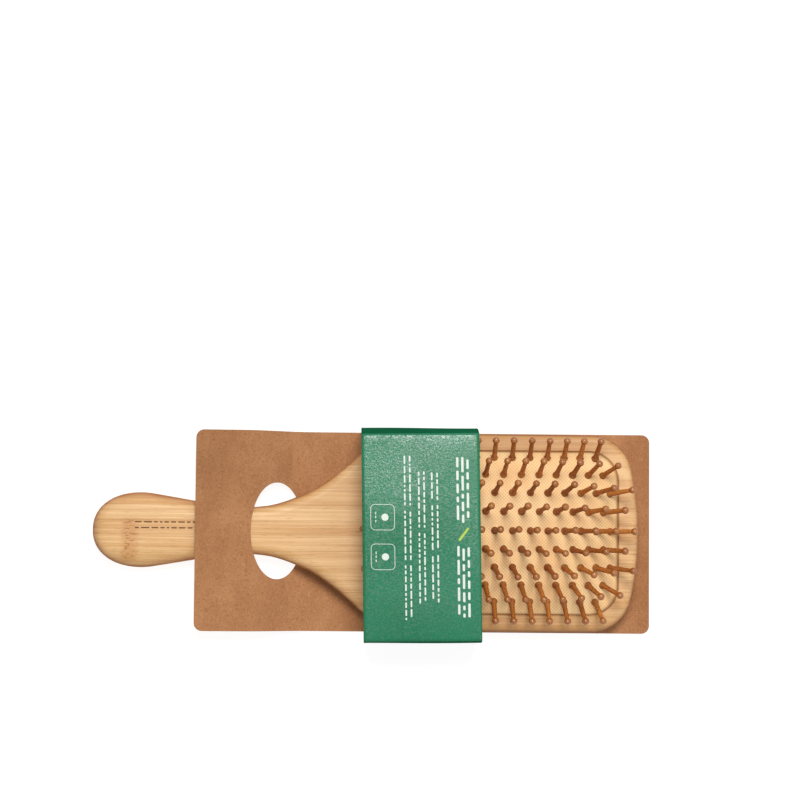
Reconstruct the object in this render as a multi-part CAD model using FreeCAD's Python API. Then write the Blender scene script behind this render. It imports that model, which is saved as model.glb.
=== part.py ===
"""Bamboo paddle hair brush, threaded on a kraft backing card and held in a paper sleeve.

X runs from the handle towards the head, and Z from the back of the brush towards the bristles.
The origin is in the middle of the footprint, on the surface that the sleeve's back lies on.
All sizes are in millimetres.
"""
import FreeCAD, Part
import math
import os

V = FreeCAD.Vector

# ---------------------------------------------------------------- driving dimensions
BRUSH_LENGTH = 237.0
HEAD_WIDTH = 85.5
HEAD_THICKNESS = 12.5
HEAD_ROUND = 3.0  # round-over of the head's outer edges
HEAD_END_RADIUS = 130.0  # shallow arc across the head's end
HEAD_CORNER_RADIUS = 18.0
SHOULDER_END = 136.0  # from the handle's end to where the head is at its full width

# Handle, neck and shoulders. Each row is a cross-section:
# distance from the handle's end, half width, how far the back is raised above the head's back,
# and the width and the depth of the round-over.
BULB_AT = 21.5
BULB_HALF_WIDTH = 16.3
SECTION_STEP = 3.0
SECTIONS = (
    (BULB_AT, BULB_HALF_WIDTH, 0.0, 9.0, 6.0),
    (32.0, 14.9, 0.0, 8.0, 5.9),
    (44.0, 12.85, 0.6, 6.6, 5.5),
    (56.0, 11.0, 1.5, 5.2, 4.9),
    (68.0, 10.2, 2.0, 4.6, 4.4),
    (76.0, 10.9, 2.0, 4.6, 4.2),
    (82.0, 12.35, 1.9, 4.7, 4.0),
    (87.4, 14.3, 1.6, 4.8, 3.9),
    (95.4, 17.8, 0.8, 5.0, 3.7),
    (104.2, 23.6, 0.2, 5.2, 3.5),
    (111.5, 29.6, 0.0, 5.2, 3.3),
    (117.0, 34.5, 0.0, 4.9, 3.2),
    (124.0, 39.6, 0.0, 4.2, 3.1),
    (131.0, 42.3, 0.0, 3.3, 3.0),
    (SHOULDER_END, HEAD_WIDTH / 2, 0.0, HEAD_ROUND, HEAD_ROUND),
)
TIP_STEPS = (0.02, 0.3, 1.0, 2.2, 4.0, 6.5, 10.0, 15.0)  # sections between the end and the bulb
TIP_FULLNESS = 2.2  # superellipse power of the handle's end in plan

# cushion and the pocket that holds it
FRAME_END = 8.8  # wood between the pocket and the head's end
POCKET_HALF_LENGTH = 54.1
POCKET_HALF_WIDTH = 35.4
POCKET_CORNER = 13.0
POCKET_DEPTH = 8.0
POCKET_CHAMFER = 0.4
GROOVE_DEPTH = 2.0
GROOVE_TOP = 1.8  # below the head's front
GROOVE_HEIGHT = 1.6
FIT_GAP = 0.1
RUBBER = 1.6
CUSHION_RISE = 8.0
CROWN_POWER_X = 4.5  # the crown is flat along its length and drops near the ends
CROWN_POWER_Y = 2.5

# bristles: the holes are evenly spaced on the flat rubber, and doming draws the outer ones in
ROWS = 9
ROW_SPACING = 7.9
ROW_SPACING_ABOVE = 8.25  # on the +Y side of the middle row
ROW_WRAP = 62.0
FIELD_SHIFT = 0.8  # the field of bristles sits a little to the +Y side of the rubber
PIN_SPACING = 7.75
PIN_WRAP = 78.0
FAN_RADIUS = 57.0  # the rows on the -Y side point away from a line this far below the rubber
FAN_RADIUS_ABOVE = 75.0  # the same for the rows on the +Y side
FAN_AT_ENDS = 1.3  # towards the head's end the pins lean more than the rubber slopes
FAN_AT_HANDLE = 1.1  # the same towards the handle
FAN_FLATTENING = 1.1  # near the ends the inner rows fan out less to the sides
LEAN_TO_HEAD = 6.0  # degrees that the inner pins lean towards the head's end
PIN_LENGTH = 17.5  # from the rubber to the top of the ball
BALL_RADIUS = 1.55
SHANK_TOP_RADIUS = 0.95
SHANK_FOOT_RADIUS = 1.15
FOOT_RADIUS = 1.5
FOOT_HEIGHT = 1.3
FOOT_GAP = 0.65  # a pin leans a little more than the rubber under its foot slopes
NECK_RADIUS = 1.0
NECK_CLEARANCE = 0.06
RETAINER_RADIUS = 1.7
RETAINER_HEIGHT = 0.8

# backing card
CARD_THICKNESS = 0.6
REST_GAP = 0.05  # between the card and the back of the brush
CARD_WIDTH = 87.0
CARD_OVERHANG = 6.0  # past the head's end
CARD_LEFT_AT = 45.0  # from the handle's end
CARD_CORNER = 3.5
CARD_RISE = 14.0  # from under the head to over the handle
CARD_BEND_FROM = 94.5  # from the handle's end
CARD_BEND_TO = 66.2
CARD_LEFT_SLOPE = 0.06
HOLE_AT = 80.1  # from the handle's end
HOLE_HALF_LENGTH = 11.2
HOLE_HALF_WIDTH = 21.0

# paper sleeve
PAPER = 0.4
SLEEVE_LENGTH = 50.0
SLEEVE_AT = 117.3  # from the handle's end
SLEEVE_HALF_WIDTH = 44.1  # at the back, round the card
SLEEVE_FRONT_HALF_WIDTH = 43.8
SLEEVE_BULGE = 1.4  # of the side walls
SLEEVE_LEAN = 2.6  # the soft tube leans: its front lies this far towards -Y of its back
SLEEVE_FOLD = 0.8
SLEEVE_SKEW = 1.2  # degrees that its two ends are off square
SLEEVE_SPARE = 2.0  # length left at each end before the skew cuts
LAP_WIDTH = 14.0
SLIDE_GAP = 0.1
TIP_GAP = 0.5

# ---------------------------------------------------------------- levels and stations
HANDLE_X = -(BRUSH_LENGTH + CARD_OVERHANG) / 2
HEAD_X = HANDLE_X + BRUSH_LENGTH
CARD_Z = 2 * PAPER + SLIDE_GAP
BACK_Z = CARD_Z + CARD_THICKNESS + REST_GAP
FRONT_Z = BACK_Z + HEAD_THICKNESS
CUSHION_X = HEAD_X - FRAME_END - POCKET_HALF_LENGTH
SLEEVE_HEIGHT = FRONT_Z + CUSHION_RISE + PIN_LENGTH + TIP_GAP + PAPER


def save(shape, name):
    if not shape.isValid():
        raise ValueError(name + " is not a valid shape")
    print(name, len(shape.Solids), "solids", round(shape.Volume, 1), "mm3")
    shape.exportStep("parts/" + name + ".step")


def rounded_block(half_length, half_width, radius, low, high):
    """Upright block round the cushion's centre, with rounded corners in plan."""
    corner = V(CUSHION_X - half_length, -half_width, low)
    block = Part.makeBox(2 * half_length, 2 * half_width, high - low, corner)
    upright = [e for e in block.Edges if abs(e.tangentAt(e.FirstParameter).z) > 0.9]
    return block.makeFillet(radius, upright)


# ---------------------------------------------------------------- handle, neck and head
def quarter_round(start, corner, end):
    """Quarter of an ellipse that leaves start and reaches end, tangent to both sides."""
    curve = Part.BezierCurve()
    curve.setPoles([start, corner, end])
    curve.setWeight(2, math.sqrt(0.5))
    return curve.toShape()


def body_section(station, half_width, low, high, round_width, round_depth):
    """Cross-section of the body: a rectangle with elliptical corners."""
    x = HANDLE_X + station
    ring = []
    for side_y, side_z in ((1, 1), (-1, 1), (-1, -1), (1, -1)):
        level = high if side_z > 0 else low
        on_side = V(x, side_y * half_width, level - side_z * round_depth)
        corner = V(x, side_y * half_width, level)
        on_face = V(x, side_y * (half_width - round_width), level)
        ring.append([on_side, corner, on_face] if side_y == side_z else [on_face, corner, on_side])
    edges = []
    for index, (start, corner, end) in enumerate(ring):
        edges.append(quarter_round(start, corner, end))
        edges.append(Part.LineSegment(end, ring[(index + 1) % 4][0]).toShape())
    return Part.Wire(edges)


def tip_section(station):
    """Section of the handle's rounded end, which closes like a superellipse in plan."""
    remaining = 1 - station / BULB_AT
    half_width = BULB_HALF_WIDTH * (1 - remaining ** TIP_FULLNESS) ** (1 / TIP_FULLNESS)
    half_depth = HEAD_THICKNESS / 2
    if station < half_depth:
        half_depth *= math.sqrt(1 - (1 - station / half_depth) ** 2)
    middle = (BACK_Z + FRONT_Z) / 2
    round_width = 0.56 * half_width
    round_depth = 0.96 * half_depth
    return body_section(station, half_width, middle - half_depth, middle + half_depth,
                        round_width, round_depth)


def knot_slope(stations, values, index):
    """Slope of the curve at a listed section, chosen so that the curve never overshoots."""
    if index in (0, len(stations) - 1):
        return 0.0
    before = (values[index] - values[index - 1]) / (stations[index] - stations[index - 1])
    after = (values[index + 1] - values[index]) / (stations[index + 1] - stations[index])
    if before * after <= 0:
        return 0.0
    return 2 * before * after / (before + after)


def between_sections(station):
    """Dimensions of the body at any station: monotone cubic curves through the listed sections."""
    stations = [row[0] for row in SECTIONS]
    index = max(i for i in range(len(SECTIONS) - 1) if stations[i] <= station)
    span = stations[index + 1] - stations[index]
    t = (station - stations[index]) / span
    dimensions = []
    for column in range(1, len(SECTIONS[0])):
        values = [row[column] for row in SECTIONS]
        slope_a = knot_slope(stations, values, index)
        slope_b = knot_slope(stations, values, index + 1)
        a, b = values[index], values[index + 1]
        smooth = t * t * (3 - 2 * t)
        bend = span * (slope_a * t * (1 - t) ** 2 - slope_b * t * t * (1 - t))
        dimensions.append(a + (b - a) * smooth + bend)
    return dimensions


def handle_and_shoulders():
    wires = [tip_section(station) for station in TIP_STEPS]
    count = round((SHOULDER_END - BULB_AT) / SECTION_STEP)
    for number in range(count + 1):
        station = BULB_AT + (SHOULDER_END - BULB_AT) * number / count
        half_width, rise, round_width, round_depth = between_sections(station)
        wires.append(body_section(station, half_width, BACK_Z + rise, FRONT_Z, round_width, round_depth))
    return Part.makeLoft(wires, True, False)


def head_outline():
    """Plan of the head from the shoulders' end: straight sides, round corners, shallow end arc."""
    half = HEAD_WIDTH / 2
    left = HANDLE_X + SHOULDER_END
    reach = HEAD_END_RADIUS - HEAD_CORNER_RADIUS
    corner_y = half - HEAD_CORNER_RADIUS
    end_centre = HEAD_X - HEAD_END_RADIUS
    corner_x = end_centre + math.sqrt(reach ** 2 - corner_y ** 2)
    turn = math.atan2(corner_y, corner_x - end_centre)
    middle = (turn + math.pi / 2) / 2

    def corner_point(angle, side):
        return V(corner_x + HEAD_CORNER_RADIUS * math.cos(angle),
                 side * (corner_y + HEAD_CORNER_RADIUS * math.sin(angle)), BACK_Z)

    low_left = V(left, -half, BACK_Z)
    high_left = V(left, half, BACK_Z)
    edges = [Part.LineSegment(low_left, corner_point(math.pi / 2, -1))]
    edges.append(Part.Arc(corner_point(math.pi / 2, -1), corner_point(middle, -1), corner_point(turn, -1)))
    edges.append(Part.Arc(corner_point(turn, -1), V(HEAD_X, 0, BACK_Z), corner_point(turn, 1)))
    edges.append(Part.Arc(corner_point(turn, 1), corner_point(middle, 1), corner_point(math.pi / 2, 1)))
    edges.append(Part.LineSegment(corner_point(math.pi / 2, 1), high_left))
    edges.append(Part.LineSegment(high_left, low_left))
    return Part.Face(Part.Wire([edge.toShape() for edge in edges]))


def head_block():
    block = head_outline().extrude(V(0, 0, HEAD_THICKNESS))
    left = HANDLE_X + SHOULDER_END
    rims = []
    for edge in block.Edges:
        box = edge.BoundBox
        level = box.ZMax - box.ZMin < 0.01
        if level and box.XMax > left + 0.01:
            rims.append(edge)
    return block.makeFillet(HEAD_ROUND, rims)


def handle_body():
    body = handle_and_shoulders().fuse(head_block())
    pocket = rounded_block(POCKET_HALF_LENGTH, POCKET_HALF_WIDTH, POCKET_CORNER,
                           FRONT_Z - POCKET_DEPTH, FRONT_Z + 1)
    groove = rounded_block(POCKET_HALF_LENGTH + GROOVE_DEPTH, POCKET_HALF_WIDTH + GROOVE_DEPTH,
                           POCKET_CORNER + GROOVE_DEPTH,
                           FRONT_Z - GROOVE_TOP - GROOVE_HEIGHT, FRONT_Z - GROOVE_TOP)
    body = body.cut(pocket.fuse(groove))
    mouth = []
    for edge in body.Edges:
        box = edge.BoundBox
        at_front = abs(box.ZMin - FRONT_Z) < 0.01 and abs(box.ZMax - FRONT_Z) < 0.01
        inside_x = abs(box.Center.x - CUSHION_X) < POCKET_HALF_LENGTH + 0.01
        inside_y = abs(box.Center.y) < POCKET_HALF_WIDTH + 0.01
        if at_front and inside_x and inside_y and box.XMin > CUSHION_X - POCKET_HALF_LENGTH - 0.01:
            mouth.append(edge)
    return body.makeChamfer(POCKET_CHAMFER, mouth)


# ---------------------------------------------------------------- cushion
def crown(x, y):
    """Height of the cushion's face above the head's front, x and y from the cushion's centre."""
    along = 1 - abs(x / POCKET_HALF_LENGTH) ** CROWN_POWER_X
    across = 1 - abs(y / POCKET_HALF_WIDTH) ** CROWN_POWER_Y
    return CUSHION_RISE * along * across


def crown_slope_x(x, y):
    across = 1 - abs(y / POCKET_HALF_WIDTH) ** CROWN_POWER_Y
    steepness = CUSHION_RISE * CROWN_POWER_X / POCKET_HALF_LENGTH
    return math.copysign(steepness * across * abs(x / POCKET_HALF_LENGTH) ** (CROWN_POWER_X - 1), x)


def under_crown(drop):
    """Solid below the crowned face, which is lowered by drop."""
    step = 2.0
    count_x = int(POCKET_HALF_LENGTH / step) + 2
    count_y = int(POCKET_HALF_WIDTH / step) + 2
    grid = []
    for i in range(-count_x, count_x + 1):
        x = i * step
        line = []
        for j in range(-count_y, count_y + 1):
            y = j * step
            line.append(V(CUSHION_X + x, y, FRONT_Z + crown(x, y) - drop))
        grid.append(line)
    surface = Part.BSplineSurface()
    surface.interpolate(grid)
    return surface.toShape().extrude(V(0, 0, -40))


def cushion(pins):
    """Domed rubber pad with a skirt in the pocket and a lip in the groove."""
    lip_low = FRONT_Z - GROOVE_TOP - GROOVE_HEIGHT + FIT_GAP
    lip_high = FRONT_Z - GROOVE_TOP - FIT_GAP
    top = FRONT_Z + CUSHION_RISE + 5
    outside = rounded_block(POCKET_HALF_LENGTH - FIT_GAP, POCKET_HALF_WIDTH - FIT_GAP,
                            POCKET_CORNER - FIT_GAP, lip_low, top).common(under_crown(0))
    wall = FIT_GAP + RUBBER
    inside = rounded_block(POCKET_HALF_LENGTH - wall, POCKET_HALF_WIDTH - wall,
                           POCKET_CORNER - wall, lip_low - 1, top).common(under_crown(RUBBER))
    reach = GROOVE_DEPTH - FIT_GAP
    lip = rounded_block(POCKET_HALF_LENGTH + reach, POCKET_HALF_WIDTH + reach,
                        POCKET_CORNER + reach, lip_low, lip_high)
    holes = [hole_tool(place) for place in pins]
    return outside.fuse(lip).cut(inside).cut(Part.makeCompound(holes))


# ---------------------------------------------------------------- bristles
def wrapped(steps, spacing, radius):
    """Place of a hole after the flat rubber is domed, counted in steps from the middle."""
    return radius * math.sin(steps * spacing / radius)


def row_steps(row):
    """Steps of a row's pins from the middle: rows are staggered, and the outer rows are shorter."""
    distance = abs(row)
    if distance % 2:
        return [step + 0.5 for step in range(-7, 7)]
    last = 6 if distance == ROWS // 2 else 7
    return list(range(-last, last + 1))


def row_place(row):
    """Place of a row across the cushion, row counted from the middle towards +Y."""
    spacing = ROW_SPACING_ABOVE if row > 0 else ROW_SPACING
    return wrapped(row, spacing, ROW_WRAP) + FIELD_SHIFT


def pin_placement(x, y):
    """Placement of a pin whose foot stands on the cushion at x, y and whose axis fans outwards."""
    outer = min(1.0, abs(y / wrapped(ROWS // 2, ROW_SPACING, ROW_WRAP)))
    to_end = FAN_AT_ENDS if x > 0 else FAN_AT_HANDLE
    lean_x = to_end * crown_slope_x(x, y) + math.tan(math.radians(LEAN_TO_HEAD)) * (1 - outer ** 4)
    radius = FAN_RADIUS_ABOVE if y > 0 else FAN_RADIUS
    flattening = FAN_FLATTENING * abs(x / POCKET_HALF_LENGTH) ** 3 * (1 - outer ** 2)
    lean_y = math.tan(math.asin(y / radius)) * (1 - flattening)
    axis = V(lean_x, lean_y, 1)
    foot = V(CUSHION_X + x, y, FRONT_Z + crown(x, y))
    return FreeCAD.Placement(foot, FreeCAD.Rotation(V(0, 0, 1), axis))


def pin_profile():
    """Half outline of a pin from the retaining head behind the rubber to the ball."""
    under = -(RUBBER + FOOT_GAP)
    ball_z = PIN_LENGTH - BALL_RADIUS
    join_z = ball_z - math.sqrt(BALL_RADIUS ** 2 - SHANK_TOP_RADIUS ** 2)
    bottom = V(0, 0, under - RETAINER_HEIGHT)
    points = [bottom, V(RETAINER_RADIUS, 0, under - RETAINER_HEIGHT), V(RETAINER_RADIUS, 0, under),
              V(NECK_RADIUS, 0, under), V(NECK_RADIUS, 0, FOOT_GAP), V(FOOT_RADIUS - 0.3, 0, FOOT_GAP)]
    edges = [Part.LineSegment(a, b) for a, b in zip(points, points[1:])]
    rim = V(FOOT_RADIUS, 0, FOOT_GAP + 0.45)
    shoulder = V(SHANK_FOOT_RADIUS, 0, FOOT_HEIGHT + 0.4)
    neck = V(SHANK_TOP_RADIUS, 0, join_z)
    top = V(0, 0, PIN_LENGTH)
    edges.append(Part.Arc(points[-1], V(FOOT_RADIUS - 0.06, 0, FOOT_GAP + 0.2), rim))
    edges.append(Part.Arc(rim, V(FOOT_RADIUS - 0.1, 0, FOOT_HEIGHT - 0.3), shoulder))
    edges.append(Part.LineSegment(shoulder, neck))
    edges.append(Part.Arc(neck, V(BALL_RADIUS, 0, ball_z), top))
    edges.append(Part.LineSegment(top, bottom))
    return Part.Face(Part.Wire([edge.toShape() for edge in edges]))


def hole_tool(place):
    radius = NECK_RADIUS + NECK_CLEARANCE
    tool = Part.makeCylinder(radius, 8, V(0, 0, -4))
    tool.Placement = place
    return tool


def pin_row(pin, row):
    """Placements and solids of one row, row counted from the middle towards +Y."""
    y = row_place(row)
    places = [pin_placement(wrapped(step, PIN_SPACING, PIN_WRAP), y) for step in row_steps(row)]
    solids = []
    for place in places:
        copy = pin.copy()
        copy.Placement = place
        solids.append(copy)
    return places, Part.makeCompound(solids)


# ---------------------------------------------------------------- card and sleeve
def card_edge(lift):
    """Long section of the card from right to left: flat, then an S-bend, then a gentle slope."""
    right = HEAD_X + CARD_OVERHANG
    start = HANDLE_X + CARD_BEND_FROM
    end = HANDLE_X + CARD_BEND_TO
    left = HANDLE_X + CARD_LEFT_AT
    low = CARD_Z + lift
    high = low + CARD_RISE
    third = (start - end) / 3
    bend = Part.BezierCurve()
    bend.setPoles([V(start, 0, low), V(start - third, 0, low),
                   V(end + third, 0, high - CARD_LEFT_SLOPE * third), V(end, 0, high)])
    flat = Part.LineSegment(V(right, 0, low), V(start, 0, low))
    slope = Part.LineSegment(V(end, 0, high), V(left, 0, high + CARD_LEFT_SLOPE * (end - left)))
    return [flat.toShape(), bend.toShape(), slope.toShape()]


def backing_card():
    lower = card_edge(0)
    upper = card_edge(CARD_THICKNESS)
    ends = [Part.LineSegment(lower[0].Vertexes[0].Point, upper[0].Vertexes[0].Point).toShape(),
            Part.LineSegment(lower[-1].Vertexes[-1].Point, upper[-1].Vertexes[-1].Point).toShape()]
    section = Part.Face(Part.Wire(Part.__sortEdges__(lower + upper + ends)))
    half = CARD_WIDTH / 2
    section.translate(V(0, -half, 0))
    sheet = section.extrude(V(0, CARD_WIDTH, 0))
    left = HANDLE_X + CARD_LEFT_AT
    right = HEAD_X + CARD_OVERHANG
    plan = Part.makeBox(right - left, CARD_WIDTH, 40, V(left, -half, -5))
    upright = [e for e in plan.Edges if abs(e.tangentAt(e.FirstParameter).z) > 0.9]
    plan = plan.makeFillet(CARD_CORNER, upright)
    oval = Part.Ellipse(V(HANDLE_X + HOLE_AT, 0, -5), HOLE_HALF_WIDTH, HOLE_HALF_LENGTH)
    hole = Part.Face(Part.Wire(oval.toShape())).extrude(V(0, 0, 40))
    hole.rotate(V(HANDLE_X + HOLE_AT, 0, 0), V(0, 0, 1), 90)
    return sheet.common(plan).cut(hole)


def sleeve_section(inset):
    """Long prism with the sleeve's section: flat front and back, side walls that bulge."""
    half = SLEEVE_HALF_WIDTH - inset
    front = SLEEVE_FRONT_HALF_WIDTH - inset
    low = inset
    high = SLEEVE_HEIGHT - inset
    x = HANDLE_X + SLEEVE_AT - SLEEVE_SPARE
    length = SLEEVE_LENGTH + 2 * SLEEVE_SPARE
    corners = [V(x, -half, low), V(x, half, low),
               V(x, front - SLEEVE_LEAN, high), V(x, -front - SLEEVE_LEAN, high)]
    middle = (low + high) / 2
    bulge = (half + front) / 2 + SLEEVE_BULGE
    edges = [Part.LineSegment(corners[0], corners[1]),
             Part.Arc(corners[1], V(x, bulge - SLEEVE_LEAN / 2, middle), corners[2]),
             Part.LineSegment(corners[2], corners[3]),
             Part.Arc(corners[3], V(x, -bulge - SLEEVE_LEAN / 2, middle), corners[0])]
    solid = Part.Face(Part.Wire([edge.toShape() for edge in edges])).extrude(V(length, 0, 0))
    folds = [e for e in solid.Edges if abs(e.tangentAt(e.FirstParameter).x) > 0.9]
    return solid.makeFillet(SLEEVE_FOLD - inset, folds)


def sleeve():
    """Paper tube with a lap glued along the inside of its back and slightly skewed ends."""
    tube = sleeve_section(0).cut(sleeve_section(PAPER))
    left = HANDLE_X + SLEEVE_AT
    lap = Part.makeBox(SLEEVE_LENGTH + 2 * SLEEVE_SPARE, LAP_WIDTH, PAPER,
                       V(left - SLEEVE_SPARE, -LAP_WIDTH / 2, PAPER))
    half = SLEEVE_HALF_WIDTH + 10
    shift = half * math.tan(math.radians(SLEEVE_SKEW))
    right = left + SLEEVE_LENGTH
    corners = [V(left + shift, -half, -1), V(right + shift, -half, -1),
               V(right - shift, half, -1), V(left - shift, half, -1)]
    ends = Part.Face(Part.makePolygon(corners + corners[:1])).extrude(V(0, 0, SLEEVE_HEIGHT + 2))
    return tube.fuse(lap).common(ends)


# ---------------------------------------------------------------- build
os.makedirs("parts", exist_ok=True)
pin = pin_profile().revolve(V(0, 0, 0), V(0, 0, 1), 360)
if not isinstance(pin, Part.Solid):
    pin = pin.Solids[0]
all_places = []
for number in range(ROWS):
    places, row_solids = pin_row(pin, ROWS // 2 - number)
    all_places += places
    save(row_solids, "bristle_row_" + str(number + 1))
save(cushion(all_places), "cushion_pad")
save(handle_body(), "handle_body")
save(backing_card(), "backing_card")
save(sleeve(), "paper_sleeve")
print(len(all_places), "pins")
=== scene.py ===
"""Looks of a bamboo paddle brush, its kraft card and its paper sleeve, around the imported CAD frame.

Everything is in metres in the CAD frame: X from the handle to the head, Z towards the bristles.
"""

import math
import random

import bmesh
import bpy
import numpy as np
from mathutils import Matrix, Vector


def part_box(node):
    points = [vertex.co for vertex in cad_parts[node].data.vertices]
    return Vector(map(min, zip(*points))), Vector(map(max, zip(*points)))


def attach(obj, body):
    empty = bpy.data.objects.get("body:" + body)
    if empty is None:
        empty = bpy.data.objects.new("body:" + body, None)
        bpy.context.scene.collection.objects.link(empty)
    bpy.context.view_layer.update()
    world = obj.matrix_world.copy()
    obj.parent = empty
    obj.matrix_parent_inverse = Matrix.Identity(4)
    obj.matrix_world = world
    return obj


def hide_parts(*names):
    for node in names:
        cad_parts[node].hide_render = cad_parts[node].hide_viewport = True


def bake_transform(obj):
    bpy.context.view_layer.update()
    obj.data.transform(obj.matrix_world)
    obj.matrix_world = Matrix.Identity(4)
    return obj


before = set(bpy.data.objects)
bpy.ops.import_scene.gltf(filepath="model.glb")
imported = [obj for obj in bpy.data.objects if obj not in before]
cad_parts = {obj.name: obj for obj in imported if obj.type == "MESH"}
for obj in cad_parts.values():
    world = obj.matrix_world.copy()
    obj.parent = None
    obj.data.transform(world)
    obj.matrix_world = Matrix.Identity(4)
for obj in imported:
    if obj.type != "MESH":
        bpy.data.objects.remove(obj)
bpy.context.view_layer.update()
MM = 0.001
ROWS = 9
dice = random.Random(7)


# ---------------------------------------------------------------- sizes taken from the frame
BODY_LOW, BODY_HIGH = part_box("handle_body")
CUSHION_LOW, CUSHION_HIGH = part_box("cushion_pad")
SLEEVE_LOW, SLEEVE_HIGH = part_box("paper_sleeve")
CARD_LOW, CARD_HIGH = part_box("backing_card")
FRONT_Z = BODY_HIGH.z
LIP = 1.9 * MM  # how far the cushion's lip reaches past the seam
SEAM_HALF_X = (CUSHION_HIGH.x - CUSHION_LOW.x) / 2 - LIP
SEAM_HALF_Y = (CUSHION_HIGH.y - CUSHION_LOW.y) / 2 - LIP
SEAM_CORNER = 12.9 * MM
CUSHION_X = (CUSHION_HIGH.x + CUSHION_LOW.x) / 2
CUSHION_RISE = CUSHION_HIGH.z - FRONT_Z
CROWN_POWER_X = 4.5  # the crown is flat along its length and drops near the ends
CROWN_POWER_Y = 2.5


def crown(x, y):
    """Height of the cushion above the head's front, x and y from the cushion's centre."""
    along = 1 - min(1, abs(x / SEAM_HALF_X)) ** CROWN_POWER_X
    across = 1 - min(1, abs(y / SEAM_HALF_Y)) ** CROWN_POWER_Y
    return CUSHION_RISE * along * across


# ---------------------------------------------------------------- materials
def srgb(red, green, blue):
    """Linear colour from 0 to 255 display values."""
    linear = []
    for value in (red, green, blue):
        part = value / 255
        linear.append(part / 12.92 if part <= 0.04045 else ((part + 0.055) / 1.055) ** 2.4)
    return (*linear, 1.0)


class Look:
    """A material, with short calls that add nodes to it."""

    def __init__(self, name, **constants):
        self.material = bpy.data.materials.new(name)
        self.material.use_nodes = True
        self.tree = self.material.node_tree
        self.shader = self.tree.nodes["Principled BSDF"]
        for socket, value in constants.items():
            self.shader.inputs[socket.replace("_", " ")].default_value = value
        self.place = self.node("TexCoord").outputs["Object"]

    def node(self, kind, inputs=None, **settings):
        made = self.tree.nodes.new("ShaderNode" + kind)
        for name, value in settings.items():
            setattr(made, name, value)
        for name, value in (inputs or {}).items():
            self.feed(made.inputs[name], value)
        return made

    def feed(self, socket, value):
        if isinstance(value, bpy.types.NodeSocket):
            self.tree.links.new(value, socket)
        else:
            socket.default_value = value

    def math(self, operation, first, second=0.0):
        return self.node("Math", {0: first, 1: second}, operation=operation).outputs[0]

    def mix(self, factor, first, second, blend="MIX"):
        made = self.node("Mix", {0: factor, 6: first, 7: second}, data_type="RGBA", blend_type=blend)
        return made.outputs[2]

    def between(self, value, low, high, start=0.0, end=1.0):
        """Smooth step from start to end as value goes from low to high."""
        inputs = {"Value": value, "From Min": low, "From Max": high, "To Min": start, "To Max": end}
        return self.node("MapRange", inputs, interpolation_type="SMOOTHSTEP").outputs[0]

    def stretched(self, size_x, size_y, size_z, shift=0.0):
        """Object coordinates in which one unit is the given size, in metres, along each axis."""
        scaled = self.node("VectorMath", {0: self.place, 1: (1 / size_x, 1 / size_y, 1 / size_z)},
                           operation="MULTIPLY").outputs[0]
        return self.node("VectorMath", {0: scaled, 1: (shift, shift * 1.7, shift * 0.6)},
                         operation="ADD").outputs[0]

    def noise(self, vector, detail=2.0, roughness=0.5):
        inputs = {"Vector": vector, "Scale": 1.0, "Detail": detail, "Roughness": roughness}
        return self.node("TexNoise", inputs).outputs["Fac"]

    def axes(self):
        return self.node("SeparateXYZ", {0: self.place}).outputs

    def sideways(self, low, high):
        """1 where the surface looks sideways, falling to 0 as its normal rises from low to high."""
        normal = self.node("TexCoord").outputs["Normal"]
        upward = self.node("SeparateXYZ", {0: normal}).outputs[2]
        return self.between(self.math("ABSOLUTE", upward), low, high, 1.0, 0.0)

    def bump(self, height, distance, strength=1.0):
        inputs = {"Height": height, "Distance": distance, "Strength": strength}
        return self.node("Bump", inputs).outputs["Normal"]

    def finish(self, colour, roughness=None, normal=None):
        self.feed(self.shader.inputs["Base Color"], colour)
        if roughness is not None:
            self.feed(self.shader.inputs["Roughness"], roughness)
        if normal is not None:
            self.feed(self.shader.inputs["Normal"], normal)
        return self.material


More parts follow.
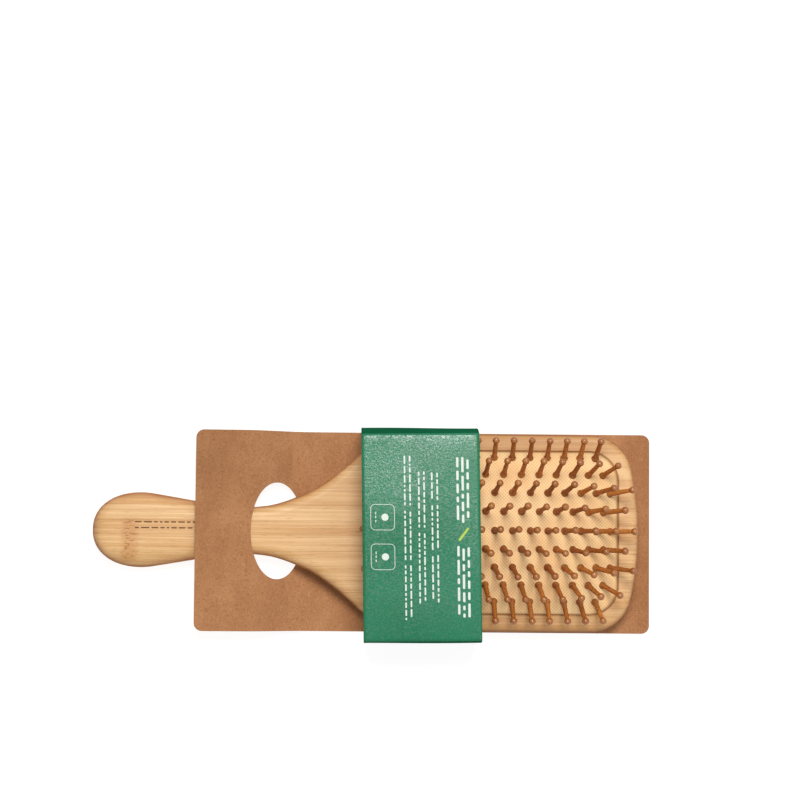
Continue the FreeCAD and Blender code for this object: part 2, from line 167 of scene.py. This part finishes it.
def bamboo():
    """Laminated bamboo: strips side by side, long fibres, short dark bundles and one node band."""
    look = Look("laminated_bamboo", Coat_Roughness=0.35)
    x, y = look.axes()[:2]
    strip = look.math("MULTIPLY", y, 1 / (6.2 * MM))
    cells = look.node("TexVoronoi", {"W": strip, "Scale": 1.0, "Randomness": 0.55},
                      voronoi_dimensions="1D")
    edge = look.node("TexVoronoi", {"W": strip, "Scale": 1.0, "Randomness": 0.55},
                     voronoi_dimensions="1D", feature="DISTANCE_TO_EDGE").outputs["Distance"]
    tone = look.node("SeparateColor", {0: cells.outputs["Color"]}).outputs
    broad = look.noise(look.stretched(120 * MM, 2.0 * MM, 9 * MM), 3)
    fine = look.noise(look.stretched(60 * MM, 0.75 * MM, 3.5 * MM, 3.1), 2)
    hair = look.noise(look.stretched(34 * MM, 0.42 * MM, 1.6 * MM, 8.3), 1)
    dashes = look.noise(look.stretched(5 * MM, 0.3 * MM, 0.3 * MM, 5.7), 1)
    colour = look.mix(look.between(broad, 0.38, 0.62), srgb(208, 159, 101), srgb(226, 184, 130))
    colour = look.mix(look.between(fine, 0.35, 0.68, 0.0, 0.38), colour, srgb(190, 138, 82))
    colour = look.mix(look.between(hair, 0.45, 0.7, 0.0, 0.34), colour, srgb(244, 206, 152))
    colour = look.mix(look.between(dashes, 0.62, 0.72, 0.0, 0.4), colour, srgb(150, 98, 50))
    colour = look.mix(look.math("MULTIPLY", tone[0], 0.26), colour, srgb(220, 176, 122), "MULTIPLY")
    colour = look.mix(look.math("MULTIPLY", tone[1], 0.2), colour, srgb(246, 214, 166))
    # Painted shade: the head's outer frame, from 31 to 38 mm across Y and beyond, is darkened.
    outer = look.between(look.math("ABSOLUTE", y), 31 * MM, 38 * MM, 0.0, 0.9)
    colour = look.mix(outer, colour, srgb(232, 222, 204), "MULTIPLY")
    glue = look.between(edge, 0.0, 0.03, 0.35, 0.0)
    colour = look.mix(glue, colour, srgb(136, 88, 44))
    # Painted shade: the rounded rims, whose normals turn sideways, are darkened; faces that look straight
    # sideways get less of it.
    sides = look.sideways(0.3, 0.99)
    upright = look.math("SUBTRACT", 1.0, look.math("MULTIPLY", look.sideways(0.0, 0.5), 0.6))
    rim_shade = look.math("MULTIPLY", sides, upright)
    colour = look.mix(look.math("MULTIPLY", rim_shade, 0.85), colour, srgb(182, 132, 86), "MULTIPLY")
    look.feed(look.shader.inputs["Specular IOR Level"], look.between(sides, 0.3, 1.0, 0.4, 0.04))
    look.feed(look.shader.inputs["Coat Weight"], look.between(sides, 0.3, 1.0, 0.1, 0.0))
    band_x = BODY_LOW.x + 16.5 * MM
    from_band = look.math("ABSOLUTE", look.math("SUBTRACT", x, band_x))
    band_y = look.math("ABSOLUTE", look.math("ADD", y, 4.4 * MM))
    band = look.math("MULTIPLY", look.between(from_band, 0.6 * MM, 5.2 * MM, 1.0, 0.0),
                     look.between(band_y, 7.0 * MM, 10.5 * MM, 1.0, 0.0))
    flecks = look.noise(look.stretched(1.8 * MM, 0.7 * MM, 0.8 * MM, 1.9), 3, 0.6)
    colour = look.mix(look.math("MULTIPLY", band, 0.5), colour, srgb(192, 130, 72))
    spots = look.math("MULTIPLY", band, look.between(flecks, 0.5, 0.68, 0.0, 0.8))
    colour = look.mix(spots, colour, srgb(134, 80, 36))
    relief = look.math("ADD", fine, look.math("MULTIPLY", hair, 0.6))
    normal = look.bump(relief, 0.03 * MM, 0.5)
    rough = look.between(fine, 0.3, 0.7, 0.40, 0.56)
    return look.finish(colour, rough, normal)


def turned_bristle():
    """Stained and polished bamboo pin: the ball is paler and glossier than the shank."""
    look = Look("turned_bristle", Coat_Roughness=0.15)
    tone = look.node("Attribute", attribute_name="tone").outputs["Fac"]
    along = look.node("Attribute", attribute_name="along").outputs["Fac"]
    grain = look.noise(look.stretched(0.55 * MM, 0.55 * MM, 5 * MM), 2, 0.6)
    colour = look.mix(tone, srgb(178, 108, 42), srgb(228, 158, 76))
    colour = look.mix(look.between(grain, 0.42, 0.62, 0.0, 0.6), colour, srgb(136, 78, 30))
    # Painted shade: darker towards the foot of each pin, down at the rubber.
    foot = look.between(along, 0.0, 0.25, 0.55, 0.0)
    colour = look.mix(foot, colour, srgb(120, 68, 28))
    ball = look.between(along, 0.83, 0.88)
    colour = look.mix(look.math("MULTIPLY", ball, 0.7), colour, srgb(146, 84, 36))
    # Painted shade: the pins' sideways-facing flanks are darkened.
    sides = look.sideways(0.1, 0.85)
    colour = look.mix(look.math("MULTIPLY", sides, 0.8), colour, srgb(220, 172, 122), "MULTIPLY")
    look.feed(look.shader.inputs["Specular IOR Level"], look.between(sides, 0.2, 0.9, 0.5, 0.08))
    look.feed(look.shader.inputs["Coat Weight"], look.between(sides, 0.0, 0.6, 0.5, 0.0))
    return look.finish(colour, look.between(ball, 0.0, 1.0, 0.42, 0.24), look.bump(grain, 0.02 * MM, 0.4))


def rubber():
    """Soft tan rubber with a fine diagonal weave moulded into it."""
    look = Look("tan_rubber", Specular_IOR_Level=0.35, Sheen_Weight=0.12, Sheen_Roughness=0.5)
    x, y = look.axes()[:2]
    pitch = 1.04 * MM
    wobble = look.math("MULTIPLY", look.noise(look.stretched(6 * MM, 6 * MM, 6 * MM)), 0.9)
    ridges = []
    for slant in (1.0, -1.0):
        across = look.math("ADD", look.math("MULTIPLY", x, 0.72), look.math("MULTIPLY", y, slant * 0.7))
        phase = look.math("ADD", look.math("MULTIPLY", across, 2 * math.pi / pitch), wobble)
        ridges.append(look.math("SINE", phase))
    weave = look.math("MULTIPLY", look.math("ADD", ridges[0], ridges[1]), 0.5)
    seam_shadow = look.node("Attribute", attribute_name="seam_shadow").outputs["Fac"]
    cloudy = look.noise(look.stretched(14 * MM, 14 * MM, 14 * MM), 3)
    grain = look.noise(look.stretched(0.3 * MM, 0.3 * MM, 0.3 * MM), 2)
    colour = look.mix(look.between(cloudy, 0.3, 0.7), srgb(248, 205, 146), srgb(254, 220, 164))
    colour = look.mix(look.between(weave, -0.6, 0.5, 0.5, 0.0), colour, srgb(216, 164, 108))
    colour = look.mix(look.between(grain, 0.4, 0.7, 0.0, 0.12), colour, srgb(186, 132, 78))
    # Painted shadow along the seam, where the pad meets the head's frame.
    colour = look.mix(look.math("MULTIPLY", seam_shadow, 0.85), colour, srgb(142, 90, 44))
    normal = look.bump(weave, 0.04 * MM, 0.4)
    return look.finish(colour, look.between(grain, 0.3, 0.7, 0.52, 0.66), normal)


def kraft():
    """Unbleached card: short fibres every way, soft vertical clouds, pale specks."""
    look = Look("kraft_card", Specular_IOR_Level=0.2, Sheen_Weight=0.1, Sheen_Roughness=0.6)
    clouds = look.noise(look.stretched(16 * MM, 22 * MM, 16 * MM), 4, 0.6)
    streaks = look.noise(look.stretched(2.6 * MM, 5 * MM, 3 * MM, 2.2), 3)
    fibre_a = look.noise(look.stretched(0.3 * MM, 1.2 * MM, 0.5 * MM, 4.0), 2)
    fibre_b = look.noise(look.stretched(1.2 * MM, 0.3 * MM, 0.5 * MM, 6.0), 2)
    speck = look.noise(look.stretched(0.9 * MM, 0.9 * MM, 0.9 * MM, 9.0), 3)
    x, y = look.axes()[:2]
    colour = look.mix(look.between(clouds, 0.3, 0.7), srgb(172, 120, 79), srgb(190, 137, 94))
    colour = look.mix(look.between(streaks, 0.35, 0.7, 0.0, 0.2), colour, srgb(160, 108, 70))
    colour = look.mix(look.between(fibre_a, 0.53, 0.70, 0.0, 0.5), colour, srgb(206, 158, 118))
    colour = look.mix(look.between(fibre_b, 0.55, 0.72, 0.0, 0.45), colour, srgb(146, 96, 60))
    colour = look.mix(look.between(speck, 0.54, 0.68, 0.0, 0.45), colour, srgb(136, 88, 54))
    # Painted shade towards the card's raised left end, and a painted shadow of the head on the card past the
    # head's right end.
    painted_card_shade = look.math("ADD", look.between(x, CARD_LOW.x, CARD_LOW.x + 60 * MM, 0.5, 0.0),
                     look.between(x, CARD_HIGH.x - 16 * MM, CARD_HIGH.x - 6 * MM, 0.0, 0.7))
    colour = look.mix(painted_card_shade, colour, srgb(226, 218, 208), "MULTIPLY")
    # Darker towards the +Y corner of the card's left end.
    corner = look.math("MULTIPLY", look.between(x, CARD_LOW.x, CARD_LOW.x + 80 * MM, 1.0, 0.0),
                       look.between(y, -10 * MM, 34 * MM))
    colour = look.mix(corner, colour, srgb(232, 230, 226), "MULTIPLY")
    relief = look.math("ADD", fibre_a, fibre_b)
    return look.finish(colour, 0.82, look.bump(relief, 0.03 * MM, 0.5))


def green_paper():
    """Printed green paper with a fine satin grain that breaks up its highlight."""
    look = Look("green_paper")
    grain = look.noise(look.stretched(0.8 * MM, 0.8 * MM, 0.8 * MM), 3, 0.75)
    fibre = look.noise(look.stretched(1.1 * MM, 0.9 * MM, 0.9 * MM, 4.4), 3, 0.7)
    clouds = look.noise(look.stretched(26 * MM, 26 * MM, 26 * MM, 2.0), 3)
    colour = look.mix(look.between(clouds, 0.3, 0.7), srgb(28, 112, 78), srgb(36, 121, 87))
    colour = look.mix(look.between(grain, 0.48, 0.66, 0.0, 0.5), colour, srgb(18, 92, 60))
    colour = look.mix(look.between(fibre, 0.54, 0.7, 0.0, 0.26), colour, srgb(80, 150, 120))
    # Painted shade: the sleeve's walls and folds, facing sideways, are darkened.
    sides = look.sideways(0.15, 0.92)
    colour = look.mix(look.math("MULTIPLY", sides, 0.7), colour, srgb(140, 168, 148), "MULTIPLY")
    sheen = look.math("MULTIPLY", look.between(grain, 0.40, 0.60, 0.16, 0.70),
                      look.between(sides, 0.0, 0.5, 1.0, 0.0))
    look.feed(look.shader.inputs["Specular IOR Level"], sheen)
    inside = look.node("Attribute", attribute_name="inside").outputs["Fac"]
    colour = look.mix(inside, colour, srgb(222, 218, 206))
    relief = look.math("ADD", grain, look.math("MULTIPLY", fibre, 0.7))
    rough = look.between(fibre, 0.35, 0.65, 0.22, 0.36)
    return look.finish(colour, rough, look.bump(relief, 0.09 * MM, 0.7))


def ink(name, colour, worn):
    """Matt printing ink with the paper's grain showing through."""
    look = Look(name, Specular_IOR_Level=0.35)
    grain = look.noise(look.stretched(0.25 * MM, 0.25 * MM, 0.25 * MM), 3, 0.7)
    shade = look.mix(look.between(grain, 0.42, 0.7, 0.0, 0.45), colour, worn)
    return look.finish(shade, 0.55, look.bump(grain, 0.02 * MM, 0.5))


# ---------------------------------------------------------------- meshes
def mesh_piece(name, points, faces, material, smooth=True):
    data = bpy.data.meshes.new(name)
    data.from_pydata([tuple(p) for p in points], [], faces)
    data.validate()
    data.update()
    data.materials.append(material)
    for polygon in data.polygons:
        polygon.use_smooth = smooth
    piece = bpy.data.objects.new(name, data)
    bpy.context.scene.collection.objects.link(piece)
    return piece


def ring_faces(first, second, count):
    """Quads between two closed rings of the same count, given the index of each ring's first point."""
    faces = []
    for i in range(count):
        j = (i + 1) % count
        faces.append((first + i, first + j, second + j, second + i))
    return faces


def pins_of(node):
    """Top and axis of every pin in a CAD row, from its separate shells."""
    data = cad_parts[node].data
    places = {}
    merged = []
    for vertex in data.vertices:
        key = tuple(round(c * 1e6) for c in vertex.co)
        merged.append(places.setdefault(key, len(places)))
    parent = list(range(len(places)))

    def root(index):
        while parent[index] != index:
            parent[index] = parent[parent[index]]
            index = parent[index]
        return index

    for edge in data.edges:
        first, second = (root(merged[v]) for v in edge.vertices)
        parent[first] = second
    groups = {}
    for key, index in places.items():
        groups.setdefault(root(index), []).append(key)
    pins = []
    for keys in groups.values():
        cloud = np.array(keys, float) * 1e-6
        centre = cloud.mean(0)
        values, vectors = np.linalg.eigh(np.cov((cloud - centre).T))
        axis = vectors[:, -1] * np.sign(vectors[2, -1])
        reach = (cloud - centre) @ axis
        pins.append((Vector(centre + axis * reach.max()), Vector(axis)))
    return sorted(pins, key=lambda pin: pin[0].x)


PIN_LENGTH = 17.5 * MM  # from the rubber to the top of the ball
PIN_SIDES = 22
BALL = 1.55  # radii in millimetres, here and in the profile
SHANK_TOP = 0.95


def pin_profile():
    """Height above the rubber and radius along a pin, from the retaining head to the ball."""
    head = [(-2.85, 0.0), (-2.85, 1.6), (-2.75, 1.7), (-2.15, 1.7), (-2.05, 1.6)]
    neck = [(-2.05, 1.0), (-0.1, 1.0)]
    foot = [(-0.1, 1.4), (0.0, 1.56), (0.25, 1.66), (0.6, 1.64), (0.95, 1.5), (1.35, 1.3), (1.9, 1.18)]
    shank = [(2.6, 1.15), (6.0, 1.08), (10.0, 1.01), (13.2, SHANK_TOP)]
    rings = head + neck + foot + shank
    centre = PIN_LENGTH / MM - BALL
    start = math.asin(SHANK_TOP / BALL)
    rings.append((centre - BALL * math.cos(start) - 0.25, SHANK_TOP))
    for step in range(13):
        angle = start + (math.pi - start) * step / 12
        rings.append((centre - BALL * math.cos(angle), BALL * math.sin(angle)))
    return [(height * MM, radius * MM) for height, radius in rings]


def bristle_row(number, material):
    """One row of pins, each with its own slight bend, tone and thickness."""
    points, faces, tones, alongs = [], [], [], []
    profile = pin_profile()
    for top, axis in pins_of("bristle_row_%d" % number):
        foot = top - axis * PIN_LENGTH
        side = axis.orthogonal().normalized()
        other = axis.cross(side)
        turn = dice.uniform(0, 2 * math.pi)
        bend = (side * math.cos(turn) + other * math.sin(turn)) * dice.uniform(0.0, 0.22) * MM
        stout = dice.uniform(0.94, 1.02)
        tone = dice.random()
        base = len(points)
        for height, radius in profile:
            share = max(0.0, height / PIN_LENGTH)
            centre = foot + axis * height + bend * share * share
            wide = radius * (stout if height > 0 else 1.0)
            for i in range(PIN_SIDES):
                angle = 2 * math.pi * i / PIN_SIDES
                points.append(centre + (side * math.cos(angle) + other * math.sin(angle)) * wide)
                tones.append(tone)
                alongs.append(share)
        for ring in range(len(profile) - 1):
            faces += ring_faces(base + ring * PIN_SIDES, base + (ring + 1) * PIN_SIDES, PIN_SIDES)
    piece = mesh_piece("turned_bristles_%d" % number, points, faces, material)
    for name, values in (("tone", tones), ("along", alongs)):
        attribute = piece.data.attributes.new(name, "FLOAT", "POINT")
        attribute.data.foreach_set("value", values)
    weld_poles(piece)
    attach(piece, "row_%d" % number)
    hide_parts("bristle_row_%d" % number)


def weld_poles(piece):
    """Joins the points that lie on one another where a ring closes to a single point."""
    work = bmesh.new()
    work.from_mesh(piece.data)
    bmesh.ops.remove_doubles(work, verts=work.verts, dist=1e-6)
    work.to_mesh(piece.data)
    work.free()


def seam_outline(inset, count):
    """Rounded rectangle of the cushion's seam, moved inwards by inset, as points round its middle."""
    half_x = SEAM_HALF_X - inset
    half_y = SEAM_HALF_Y - inset
    radius = max(0.2 * MM, SEAM_CORNER - inset)
    straight_x = half_x - radius
    straight_y = half_y - radius
    quarter = math.pi / 2 * radius
    spans = [2 * straight_y, quarter, 2 * straight_x, quarter] * 2
    length = sum(spans)
    points = []
    for index in range(count):
        at = length * index / count
        leg = 0
        while at > spans[leg]:
            at -= spans[leg]
            leg += 1
        turn = math.pi / 2 * (leg // 2)
        if leg % 2:
            angle = turn + at / radius
            corner = Vector((math.copysign(straight_x, math.cos(turn + 0.8)),
                             math.copysign(straight_y, math.sin(turn + 0.8))))
            points.append(corner + Vector((math.cos(angle), math.sin(angle))) * radius)
        else:
            outward = Vector((math.cos(turn), math.sin(turn)))
            along = Vector((-math.sin(turn), math.cos(turn)))
            reach = half_x if leg % 4 == 0 else half_y
            slide = straight_y if leg % 4 == 0 else straight_x
            points.append(outward * reach + along * (at - slide))
    return points


def cushion(material):
    """Domed rubber pad: crowned face with a soft seat at every pin, skirt, lip and hollow underside."""
    count = 640
    rings = 96
    rubber_thickness = 1.6 * MM
    seat_radius = 1.55 * MM
    seat_height = 0.42 * MM
    feet = []
    for number in range(1, ROWS + 1):
        for top, axis in pins_of("bristle_row_%d" % number):
            foot = top - axis * PIN_LENGTH
            feet.append((foot.x - CUSHION_X, foot.y))
    feet = np.array(feet)
    outline = seam_outline(0.0, count)
    points, faces = [], []

    def add_ring(flat, heights):
        points.extend((CUSHION_X + p.x, p.y, z) for p, z in zip(flat, heights))

    def seats(x, y):
        near = np.hypot(feet[:, 0] - x, feet[:, 1] - y)
        return float(np.sum(np.exp(-(near / seat_radius) ** 4))) * seat_height

    for ring in range(rings + 1):
        share = ring / rings
        flat = [p * max(share, 0.002) for p in outline]
        soft_rim = 0.55 * MM * max(0.0, (share - 0.965) / 0.035) ** 2
        add_ring(flat, [FRONT_Z + crown(p.x, p.y) + seats(p.x, p.y) - soft_rim for p in flat])
    lip_high = CUSHION_LOW.z + 1.4 * MM
    for inset, z in ((0.0, lip_high), (-LIP, lip_high), (-LIP, CUSHION_LOW.z),
                     (rubber_thickness, CUSHION_LOW.z)):
        add_ring(seam_outline(inset, count), [z] * count)
    inner = seam_outline(rubber_thickness, count)
    for ring in range(12, -1, -1):
        flat = [p * max(ring / 12, 0.002) for p in inner]
        add_ring(flat, [FRONT_Z + crown(p.x, p.y) - rubber_thickness for p in flat])
    total = len(points) // count
    for ring in range(total - 1):
        faces += ring_faces(ring * count, (ring + 1) * count, count)
    faces.append(tuple(range(count - 1, -1, -1)))
    faces.append(tuple(range((total - 1) * count, total * count)))
    piece = mesh_piece("domed_cushion", points, faces, material)
    # Mask for the painted seam shadow: 0 over most of the crown, 1 at its outer rings and beyond.
    shade = piece.data.attributes.new("seam_shadow", "FLOAT", "POINT")
    shares = [index // count / rings for index in range(len(points))]
    shade.data.foreach_set("value", [min(1.0, max(0.0, (share - 0.975) / 0.02)) for share in shares])
    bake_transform(piece)
    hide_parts("cushion_pad")


# ---------------------------------------------------------------- sleeve
PAPER = 0.4 * MM
SLEEVE_HALF_Y = 44.1 * MM  # at the back, round the card
SLEEVE_FRONT_HALF_Y = 43.8 * MM
SLEEVE_BULGE = 1.9 * MM  # of the side walls
SLEEVE_LEAN = 2.6 * MM  # the front lies this far towards -Y of the back
SLEEVE_TWIST = 0.016  # and the front is turned a little against the back
SLEEVE_LENGTH = 50.0 * MM
SLEEVE_MIDDLE_X = (SLEEVE_LOW.x + SLEEVE_HIGH.x) / 2
SLEEVE_SKEW = math.tan(math.radians(1.2))  # of its two ends
LAP_HALF_Y = 7.0 * MM


def sleeve_lean(x):
    return SLEEVE_LEAN - SLEEVE_TWIST * (x - SLEEVE_MIDDLE_X)


def front_level(x, y):
    """Height of the outside of the sleeve's front: it sags outwards a little and ripples softly."""
    across = min(1.0, abs(y + sleeve_lean(x)) / SLEEVE_FRONT_HALF_Y)
    swell = 0.45 * MM * (1 - across ** 2)
    ripple = 0.10 * MM * (1 + math.sin(y / (7.5 * MM) + x / (21 * MM))) * (1 - across ** 4)
    dent = 0.16 * MM * (1 + math.sin(x / (9 * MM) - y / (13 * MM) + 0.8)) * (1 - across ** 4)
    return SLEEVE_HIGH.z + swell + ripple + dent


def sleeve_ring(x, inset):
    """Section of the tube at x, with round folds, as a closed ring of points."""
    fold = 1.5 * MM - inset
    low = inset
    high = SLEEVE_HIGH.z - inset
    back = SLEEVE_HALF_Y - inset
    front = SLEEVE_FRONT_HALF_Y - inset
    lean = sleeve_lean(x)
    ring = []

    def wall(side, height):
        share = (height - low) / (high - low)
        straight = side * (back + (front - back) * share) - lean * share
        wave = 0.15 * MM * (1 + math.sin(x / (11 * MM) + side))
        return straight + side * (SLEEVE_BULGE + wave) * 4 * share * (1 - share)

    def corner(side, level, up, start):
        edge = wall(side, level - up * fold)
        for step in range(9):
            angle = math.radians(start + 90 * step / 8)
            across = edge - side * fold + fold * math.cos(angle)
            ring.append((x, across, level - up * fold + fold * math.sin(angle)))

    for step in range(24):
        ring.append((x, -back + fold + 2 * (back - fold) * step / 24, low))
    corner(1, low, -1, -90)
    for step in range(1, 16):
        height = low + fold + (high - low - 2 * fold) * step / 16
        ring.append((x, wall(1, height), height))
    corner(1, high, 1, 0)
    start, end = front - fold - lean, -front + fold - lean
    for step in range(1, 60):
        y = start + (end - start) * step / 60
        ring.append((x, y, front_level(x, y) - inset))
    corner(-1, high, 1, 90)
    for step in range(15, 0, -1):
        height = low + fold + (high - low - 2 * fold) * step / 16
        ring.append((x, wall(-1, height), height))
    corner(-1, low, -1, 180)
    return ring


def sleeve(material):
    """Soft paper tube: an outer and an inner skin joined by the two cut edges, and the glued lap."""
    stations = 36
    points, faces = [], []
    for inset in (0.0, PAPER):
        for step in range(stations + 1):
            x = SLEEVE_MIDDLE_X + SLEEVE_LENGTH * (step / stations - 0.5)
            points += [(x - y * SLEEVE_SKEW, y, z) for _, y, z in sleeve_ring(x, inset)]
    count = len(points) // (2 * (stations + 1))
    inner = count * (stations + 1)
    for step in range(stations):
        faces += ring_faces(step * count, (step + 1) * count, count)
        faces += ring_faces(inner + (step + 1) * count, inner + step * count, count)
    faces += ring_faces(inner, 0, count)
    faces += ring_faces(stations * count, inner + stations * count, count)
    base = len(points)
    lap_low = PAPER - 0.02 * MM
    lap_high = 2 * PAPER
    for end in (-0.5, 0.5):
        x = SLEEVE_MIDDLE_X + SLEEVE_LENGTH * end
        for y, z in ((-LAP_HALF_Y, lap_low), (LAP_HALF_Y, lap_low),
                     (LAP_HALF_Y, lap_high), (-LAP_HALF_Y, lap_high)):
            points.append((x - y * SLEEVE_SKEW, y, z))
    faces += ring_faces(base, base + 4, 4)
    faces += [(base + 3, base + 2, base + 1, base), (base + 4, base + 5, base + 6, base + 7)]
    piece = mesh_piece("soft_sleeve", points, faces, material)
    skin = piece.data.attributes.new("inside", "FLOAT", "POINT")
    skin.data.foreach_set("value", [float(index >= inner) for index in range(len(points))])
    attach(piece, "sleeve")
    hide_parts("paper_sleeve")


# ---------------------------------------------------------------- printed marks
def rounded_plate(x, y, width, height, radius, steps=5):
    """Ring of points, x and y, of a rounded rectangle."""
    ring = []
    for corner in range(4):
        turn = math.pi / 2 * corner
        cx = x + math.copysign(width / 2 - radius, math.cos(turn + 0.8))
        cy = y + math.copysign(height / 2 - radius, math.sin(turn + 0.8))
        for step in range(steps + 1):
            angle = turn + math.pi / 2 * step / steps
            ring.append((cx + radius * math.cos(angle), cy + radius * math.sin(angle)))
    return ring


def solid_mark(x, y, width, height, radius):
    return rounded_plate(x, y, width, height, radius), None


def outlined_mark(x, y, width, height, radius, stroke):
    inner = rounded_plate(x, y, width - 2 * stroke, height - 2 * stroke, max(radius - stroke, 0.05 * MM))
    return rounded_plate(x, y, width, height, radius), inner


def placeholder_line(x, start, end, height, stroke, words, tracks=2):
    """Dashes along -Y on parallel tracks, in place of a line of text: they spell nothing."""
    marks = []
    gap = height * 0.7
    lengths = [dice.uniform(0.7, 1.3) for _ in range(words)]
    room = (start - end) - gap * (words - 1)
    at = start
    for length in lengths:
        stop = at - room * length / sum(lengths)
        for number in range(tracks):
            track = x + (number / (tracks - 1) - 0.5) * (height - stroke)
            place = at - dice.uniform(0.0, 0.25) * height
            while place > stop + height * 0.3:
                dash = min(place - stop, height * dice.uniform(0.35, 1.25))
                marks.append(solid_mark(track, place - dash / 2, stroke, dash, stroke * 0.45))
                place -= dash + height * 0.26
        at = stop - gap
    return marks


def print_marks(name, marks, level, body, material):
    """Thin ink shapes joined into one piece that follows the surface given by level."""
    points, faces = [], []
    underside = 0.005 * MM
    face = 0.025 * MM
    for outer, inner in marks:
        base = len(points)
        count = len(outer)
        for ring in [outer] if inner is None else [outer, inner]:
            for lift in (underside, face):
                points.extend(level(x, y, lift) for x, y in ring)
        if inner is None:
            faces.append(tuple(range(base + count, base + 2 * count)))
            faces.append(tuple(range(base + count - 1, base - 1, -1)))
            faces += ring_faces(base, base + count, count)
        else:
            hole = base + 2 * count
            faces += ring_faces(base, base + count, count)
            faces += ring_faces(base + count, hole + count, count)
            faces += ring_faces(hole + count, hole, count)
            faces += ring_faces(hole, base, count)
    piece = mesh_piece(name, points, faces, material, smooth=False)
    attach(piece, body)


def on_sleeve(x, y, lift):
    return x - y * SLEEVE_SKEW, y, front_level(x, y) + lift


def on_handle(x, y, lift):
    return x, y, FRONT_Z + lift


def sleeve_print():
    """Generic layout: a large line, three small lines and two outlined squares."""
    x = SLEEVE_MIDDLE_X
    white = placeholder_line(x + 17.6 * MM, 31.7 * MM, 3.6 * MM, 5.3 * MM, 1.0 * MM, 1, 3)
    white += placeholder_line(x + 17.6 * MM, -6.0 * MM, -36.2 * MM, 5.3 * MM, 1.0 * MM, 1, 3)
    for offset, start, end, words in ((5.7, 24.9, -30.0, 3), (0.15, 25.3, -30.8, 2), (-5.8, 32.1, -37.5, 3)):
        white += placeholder_line(x + offset * MM, start * MM, end * MM, 2.9 * MM, 0.66 * MM, words)
    for y in (5.7 * MM, -11.0 * MM):
        square = x - 16.4 * MM
        white.append(outlined_mark(square, y, 10.2 * MM, 11.0 * MM, 1.9 * MM, 0.22 * MM))
        white.append(solid_mark(square + 1.0 * MM, y, 3.0 * MM, 3.0 * MM, 1.45 * MM))
        for step in (-1, 0, 1):
            white.append(solid_mark(square - 2.9 * MM, y + step * 1.7 * MM, 0.4 * MM, 1.1 * MM, 0.18 * MM))
    white_ink = ink("white_ink", srgb(222, 228, 220), srgb(150, 186, 166))
    print_marks("label_marks", white, on_sleeve, "sleeve", white_ink)
    dash = rounded_plate(0, 0, 0.95 * MM, 6.8 * MM, 0.45 * MM)
    slanted = [(x + 17.8 * MM + p * 0.8 + q * 0.6, -1.2 * MM + q * 0.8 - p * 0.6) for p, q in dash]
    lime_ink = ink("lime_ink", srgb(176, 204, 72), srgb(120, 176, 80))
    print_marks("label_accent", [(slanted, None)], on_sleeve, "sleeve", lime_ink)


def handle_mark():
    """Burnt dashes on the handle, along X and up to the card's edge."""
    start = BODY_LOW.x + 18.6 * MM
    turned = []
    for ring, _ in placeholder_line(0, 0, -26.4 * MM, 3.1 * MM, 0.6 * MM, 1):
        turned.append(([(start - q, 2.1 * MM + p) for p, q in ring], None))
    burnt = ink("burnt_wood", srgb(104, 62, 34), srgb(150, 100, 60))
    print_marks("handle_marks", turned, on_handle, "brush", burnt)


# ---------------------------------------------------------------- stage
def floor():
    points = [(-3, -3, 0), (3, -3, 0), (3, 3, 0), (-3, 3, 0)]
    look = Look("studio_floor", Specular_IOR_Level=0.1, Emission_Color=(1, 1, 1, 1), Emission_Strength=0.88)
    cloud = look.noise(look.stretched(0.4, 0.4, 0.4), 2)
    colour = look.mix(look.between(cloud, 0.3, 0.7), (0.21, 0.21, 0.21, 1), (0.23, 0.23, 0.23, 1))
    piece = mesh_piece("floor", points, [(0, 1, 2, 3)], look.finish(colour, 0.9), smooth=False)
    piece.location.z = -0.0002


def area_light(name, place, aim, size, power, tint=(1, 1, 1)):
    data = bpy.data.lights.new(name, "AREA")
    data.shape = "DISK"
    data.size = size
    data.energy = power
    data.color = tint
    lamp = bpy.data.objects.new(name, data)
    lamp.location = place
    lamp.rotation_euler = (Vector(aim) - Vector(place)).to_track_quat("-Z", "Y").to_euler()
    bpy.context.scene.collection.objects.link(lamp)


def studio():
    world = bpy.data.worlds.new("studio")
    world.use_nodes = True
    world.node_tree.nodes["Background"].inputs["Color"].default_value = (1.0, 1.0, 1.0, 1)
    world.node_tree.nodes["Background"].inputs["Strength"].default_value = 0.38
    bpy.context.scene.world = world
    aim = (0.0, 0.0, 0.02)
    area_light("key", (0.06, 0.38, 1.0), aim, size=0.42, power=8.6, tint=(1.0, 0.985, 0.96))
    area_light("fill", (0.7, -0.35, 0.9), aim, size=0.8, power=2.2)
    bpy.context.scene.view_settings.view_transform = "Standard"
    bpy.context.scene.view_settings.look = "None"


def camera():
    """Stands a metre above the brush and looks a few degrees past it, as the photographer did."""
    place = Vector((-0.5 * MM, -14.0 * MM, 1.05))
    aim = Vector((11.6 * MM, 57.6 * MM, 8.0 * MM))
    view_width = 0.3498
    back = (place - aim).normalized()
    right = Vector((0, 1, 0)).cross(back).normalized()
    level = Matrix((right, back.cross(right), back)).transposed()
    turned = level @ Matrix.Rotation(math.radians(0.5), 3, "Z")
    data = bpy.data.cameras.new("camera")
    data.sensor_width = 36
    data.sensor_fit = "HORIZONTAL"
    data.lens = 36 * (place - aim).length / view_width
    data.clip_end = 10
    data.dof.use_dof = False
    view = bpy.data.objects.new("camera", data)
    view.location = place
    view.rotation_euler = turned.to_euler()
    bpy.context.scene.collection.objects.link(view)
    bpy.context.scene.camera = view


def dress(node, material):
    """Gives a CAD node its material."""
    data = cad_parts[node].data
    data.materials.clear()
    data.materials.append(material)


camera()
floor()
studio()
dress("handle_body", bamboo())
dress("backing_card", kraft())
bristle_material = turned_bristle()
for row_number in range(1, ROWS + 1):
    bristle_row(row_number, bristle_material)
cushion(rubber())
sleeve(green_paper())
sleeve_print()
handle_mark()
